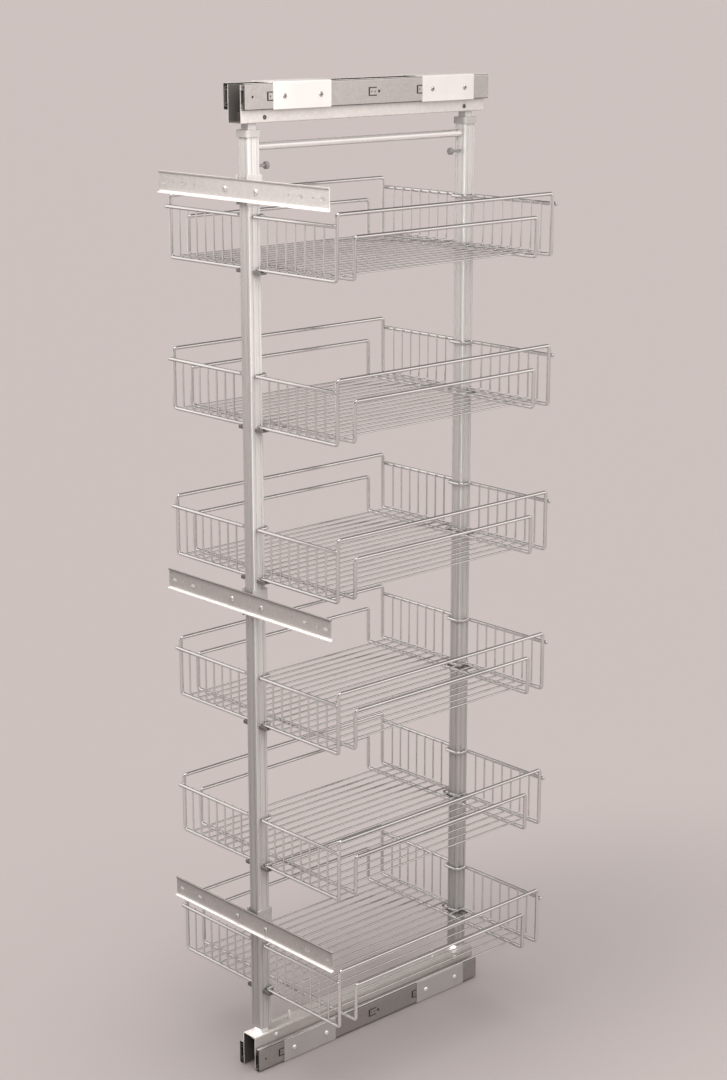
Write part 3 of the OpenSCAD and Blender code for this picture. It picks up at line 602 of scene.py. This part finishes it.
def side_screws(node, z):
    """Four in the sides of a channel, near the posts."""
    f = Forms()
    screw = cross_screw(d=7 * MM, h=2 * MM, shank_d=4 * MM, shank=7.7 * MM)
    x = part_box(node)[1].x
    places = [(side, y) for side in (-1, 1) for y in (-SIDE_SCREW_Y, SIDE_SCREW_Y)]
    for n, (side, y) in enumerate(places):
        f.copy(screw, aimed((side * x, y, z), (side, 0, 0), spin=0.5 * n + 0.2))
    return f


def foot_screws():
    """Side screws of the bottom channel, and two upright threaded studs with a chamfered top."""
    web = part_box("bottom_channel")[1].z
    low, high = web - CHANNEL_WALL - BLOCK_H, web + STUD_OUT
    f = side_screws("bottom_channel", low + BLOCK_H / 2)
    pitch, r, sides = 0.7 * MM, 2 * MM, 16
    root, chamfer = r - 0.3 * MM, 0.5 * r
    crest_at, root_at = 0.3, 0.8
    profile = [(AXIS_R, low), (root, low)]
    for k in range(int((high - low) / pitch)):
        profile += [(r, low + (k + crest_at) * pitch), (root, low + (k + root_at) * pitch)]
    profile += [(r, high), (r - chamfer, high + chamfer), (AXIS_R, high + chamfer)]
    for y in (-STUD_Y, STUD_Y):
        f.lathe(profile, sides, Matrix.Translation((0, y, 0)))
    return f


def tube_screws():
    """Side screws of the top channel."""
    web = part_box("top_channel")[0].z
    return side_screws("top_channel", web + CHANNEL_WALL + BLOCK_H / 2)


def bracket_bolts():
    """Two through each strip and the ears of its clamp, with hexagonal nuts behind."""
    f = Forms()
    screw = cross_screw(d=9 * MM, h=3 * MM, shank_d=5 * MM, shank=9 * MM)
    sheet = 2 * MM
    nut_r, nut_h, chamfer = 4.5 * MM, 3 * MM, 0.4 * MM
    flat_r = nut_r - chamfer
    nut = [(AXIS_R, 0), (flat_r, 0), (nut_r, chamfer),
           (nut_r, nut_h - chamfer), (flat_r, nut_h), (AXIS_R, nut_h)]
    places = [(strip_node, x) for strip_node in STRIPS for x in (-BOLT_X, BOLT_X)]
    for n, (strip_node, x) in enumerate(places):
        seat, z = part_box(strip_node)[1].y, middle(strip_node).z
        f.copy(screw, aimed((x, seat - sheet, z), (0, -1, 0), spin=0.6 * n))
        f.lathe(nut, sides=6, pose=aimed((x, seat + sheet, z), (0, 1, 0)))
    return f


saddle_screws("bottom").piece(
    "saddle_screw_heads_bottom", PALE_PAINTED_HIGHLIGHT, "floor_runners", "screw_steel", "saddle_screws_bottom")
saddle_screws("top").piece("saddle_screw_heads_top", HEAD, "top_runners", "screw_steel", "saddle_screws_top")
foot_screws().piece("foot_screw_heads", PALE_PAINTED_HIGHLIGHT, "frame", "screw_steel", "foot_screws")
tube_screws().piece("tube_screw_heads", DARK, "top_frame", "screw_steel", "tube_screws")
bracket_bolts().piece("bracket_bolt_heads", SCREW, "frame", "screw_steel", "bracket_bolts")


# Stage, light and camera

# The floor reaches the horizon, with a painted shadow: it is darker in an oval about the part
FLOOR_R, FLOOR_SIDES = 900, 96
PAPER_PAINTED_SHADOW, PAPER_LIGHT = (0.64, 0.594, 0.589), (0.79, 0.733, 0.727)
OVAL_SHIFT, OVAL_SCALE = (0, -0.32, 0), (1.6, 0.85, 1)
OVAL_START, OVAL_END = 0.1, 1.0
# Colours of the lamps, of the room's light and of the backdrop
WARM = (1, 0.955, 0.935)
ROOM = (0.95, 0.885, 0.85)
BACKDROP = (0.61, 0.539, 0.522)
# Strength of the room's light at sines of the height, and its share at the front and at the rear
ROOM_LEVELS = ((0, 0.75), (0.36, 0.75), (0.66, 0.18), (1, 0.18))
ROOM_FRONT, ROOM_REAR = 0.5, 1.3
# Camera: place, turns in degrees, and focal length in pixels of a picture of this height
EYE = (2.51705, -2.31568, 1.79368)
YAW, PITCH_DOWN, ROLL = 47.3505, 14.8616, -0.0425
FOCAL, PICTURE_H = 2101.6967, 1080
SENSOR = 36
NEAR, FAR = 0.05, 2000


def floor():
    bm = bmesh.new()
    bmesh.ops.create_circle(bm, cap_ends=True, radius=FLOOR_R, segments=FLOOR_SIDES)
    mesh = bpy.data.meshes.new("floor")
    bm.to_mesh(mesh)
    bm.free()
    made = bpy.data.objects.new("floor", mesh)
    bpy.context.scene.collection.objects.link(made)
    s = Shader("floor_paper", PAPER_LIGHT, metallic=0.0, roughness=0.9)
    oval = s.node("ShaderNodeMapping")
    oval.inputs["Location"].default_value = OVAL_SHIFT
    oval.inputs["Scale"].default_value = OVAL_SCALE
    s.link(s.coords, oval.inputs["Vector"])
    reach = s.node("ShaderNodeVectorMath", operation="LENGTH")
    s.link(oval.outputs["Vector"], reach.inputs[0])
    # Painted shadow: the paper is darker in the oval about the part and lighter outward
    outward = s.span(reach.outputs["Value"], OVAL_START, OVAL_END, 0, 1, "SMOOTHSTEP")
    s.tint(outward, PAPER_PAINTED_SHADOW, PAPER_LIGHT, start=0, end=1)
    s.bsdf.inputs["Specular IOR Level"].default_value = 0.1
    mesh.materials.append(s.mat)
    return made


def world():
    """Soft room light by height and from front to rear, and a plain backdrop behind the part."""
    made = bpy.data.worlds.new("studio")
    made.use_nodes = True
    tree = made.node_tree
    room = tree.nodes["Background"]
    room.inputs["Color"].default_value = (*ROOM, 1)
    coords = tree.nodes.new("ShaderNodeTexCoord")
    split = tree.nodes.new("ShaderNodeSeparateXYZ")
    tree.links.new(coords.outputs["Generated"], split.inputs["Vector"])
    ramp = tree.nodes.new("ShaderNodeValToRGB")
    stops = ramp.color_ramp.elements
    while len(stops) < len(ROOM_LEVELS):
        stops.new(0.5)
    for stop, (height, level) in zip(stops, ROOM_LEVELS):
        stop.position = height
        stop.color = (level, level, level, 1)
    tree.links.new(split.outputs["Z"], ramp.inputs["Fac"])
    share = tree.nodes.new("ShaderNodeMapRange")
    for name, number in (("From Min", -1), ("From Max", 1), ("To Min", ROOM_FRONT), ("To Max", ROOM_REAR)):
        share.inputs[name].default_value = number
    tree.links.new(split.outputs["Y"], share.inputs["Value"])
    strength = tree.nodes.new("ShaderNodeMath")
    strength.operation = "MULTIPLY"
    tree.links.new(ramp.outputs["Color"], strength.inputs[0])
    tree.links.new(share.outputs["Result"], strength.inputs[1])
    tree.links.new(strength.outputs[0], room.inputs["Strength"])
    backdrop = tree.nodes.new("ShaderNodeBackground")
    backdrop.inputs["Color"].default_value = (*BACKDROP, 1)
    path = tree.nodes.new("ShaderNodeLightPath")
    mix = tree.nodes.new("ShaderNodeMixShader")
    tree.links.new(path.outputs["Is Camera Ray"], mix.inputs[0])
    tree.links.new(room.outputs[0], mix.inputs[1])
    tree.links.new(backdrop.outputs[0], mix.inputs[2])
    tree.links.new(mix.outputs[0], tree.nodes["World Output"].inputs["Surface"])
    bpy.context.scene.world = made


def camera():
    yaw, pitch, roll = (math.radians(turn) for turn in (YAW, PITCH_DOWN, ROLL))
    level = math.cos(pitch)
    ahead = Vector((-math.sin(yaw) * level, math.cos(yaw) * level, -math.sin(pitch)))
    right = Vector((math.cos(yaw), math.sin(yaw), 0))
    up = right.cross(ahead)
    rolled_right = math.cos(roll) * right + math.sin(roll) * up
    rolled_up = math.cos(roll) * up - math.sin(roll) * right
    data = bpy.data.cameras.new("camera")
    data.sensor_width = SENSOR
    data.lens = FOCAL / PICTURE_H * SENSOR
    data.clip_start, data.clip_end = NEAR, FAR
    made = bpy.data.objects.new("camera", data)
    turn = Matrix((rolled_right, rolled_up, -ahead)).transposed()
    made.matrix_world = Matrix.Translation(EYE) @ turn.to_4x4()
    bpy.context.scene.collection.objects.link(made)
    bpy.context.scene.camera = made


def lamp(name, kind, power):
    data = bpy.data.lights.new(name, kind)
    data.color = WARM
    data.energy = power
    made = bpy.data.objects.new(name, data)
    bpy.context.scene.collection.objects.link(made)
    return made


def sun(name, toward, angle, power):
    made = lamp(name, "SUN", power)
    made.data.angle = math.radians(angle)
    made.rotation_euler = Vector(toward).to_track_quat("Z", "Y").to_euler()
    return made


def area(name, place, target, size, power):
    made = lamp(name, "AREA", power)
    made.data.shape = "RECTANGLE"
    made.data.size, made.data.size_y = size
    made.location = place
    made.rotation_euler = (Vector(target) - Vector(place)).to_track_quat("-Z", "Y").to_euler()
    return made


def aim(light, pieces, state):
    """Keeps a lamp's light off these pieces (EXCLUDE), or to them alone (INCLUDE)."""
    chosen = bpy.data.collections.new(light.name + "_pieces")
    for piece in pieces:
        chosen.objects.link(piece)
    light.light_linking.receiver_collection = chosen
    for entry in chosen.collection_objects:
        entry.light_linking.link_state = state


paper = floor()
world()
camera()
posts = [nodes["post_front"], nodes["post_rear"]]
shade = [paper] + wires
dull = [nodes[k] for k in nodes if k.startswith("saddle_top") or k == "bottom_channel"]

# Lamps over the frame, before its upper end and at its feet
key = area("key", place=(1.1, -0.45, 2.03), target=(0, 0, 1.6), size=(1.5, 1.5), power=44)
key.visible_glossy = False
aim(key, shade, "EXCLUDE")
front = area("front", place=(0.05, -0.6, 1.85), target=(0, -0.25, 1.5), size=(0.3, 0.3), power=3.2)
aim(front, shade, "EXCLUDE")
foot = area("foot", place=(0, -0.36, 0.2), target=(0, -0.25, 0.08), size=(0.1, 0.1), power=0.9)
aim(foot, [nodes["foot_front"], nodes["bottom_channel"]], "INCLUDE")
heel = area("heel", place=(0.02, 0.12, 0.115), target=(0, 0.235, 0.05), size=(0.06, 0.06), power=0.5)
aim(heel, [nodes["foot_rear"]], "INCLUDE")

# Lamps at both sides of the baskets
left = area("left", place=(-2.2, -0.9, 2.0), target=(0, 0, 0.9), size=(3, 3), power=20)
aim(left, wires, "INCLUDE")
right = area("right", place=(2.4, 2.2, 1.6), target=(0, 0, 0.9), size=(1.6, 1.6), power=4.5)
aim(right, wires, "INCLUDE")

# Lamps of the posts, the last for the bright line that runs down them
side = sun("side", toward=(1, 0.1, 0.25), angle=30, power=1.1)
aim(side, [nodes["post_front"]], "INCLUDE")
back = area("back", place=(-0.3, -0.9, 1.5), target=(0, 0.235, 1.4), size=(0.6, 0.6), power=6.5)
aim(back, [nodes["post_rear"]], "INCLUDE")
line = area("line", place=(1.64, -2.0, 0.475), target=(0, -0.235, 0.475), size=(1.5, 0.85), power=18)
line.visible_diffuse = False
aim(line, posts, "INCLUDE")

# Light from above, stronger on the faces that lie flat
crown = sun("crown", toward=(0, 0, 1), angle=12, power=7.5)
aim(crown, shade + dull, "EXCLUDE")
sun("top", toward=(0.12, -0.08, 1), angle=60, power=1.55)
bpy.context.scene.view_settings.view_transform = "Standard"
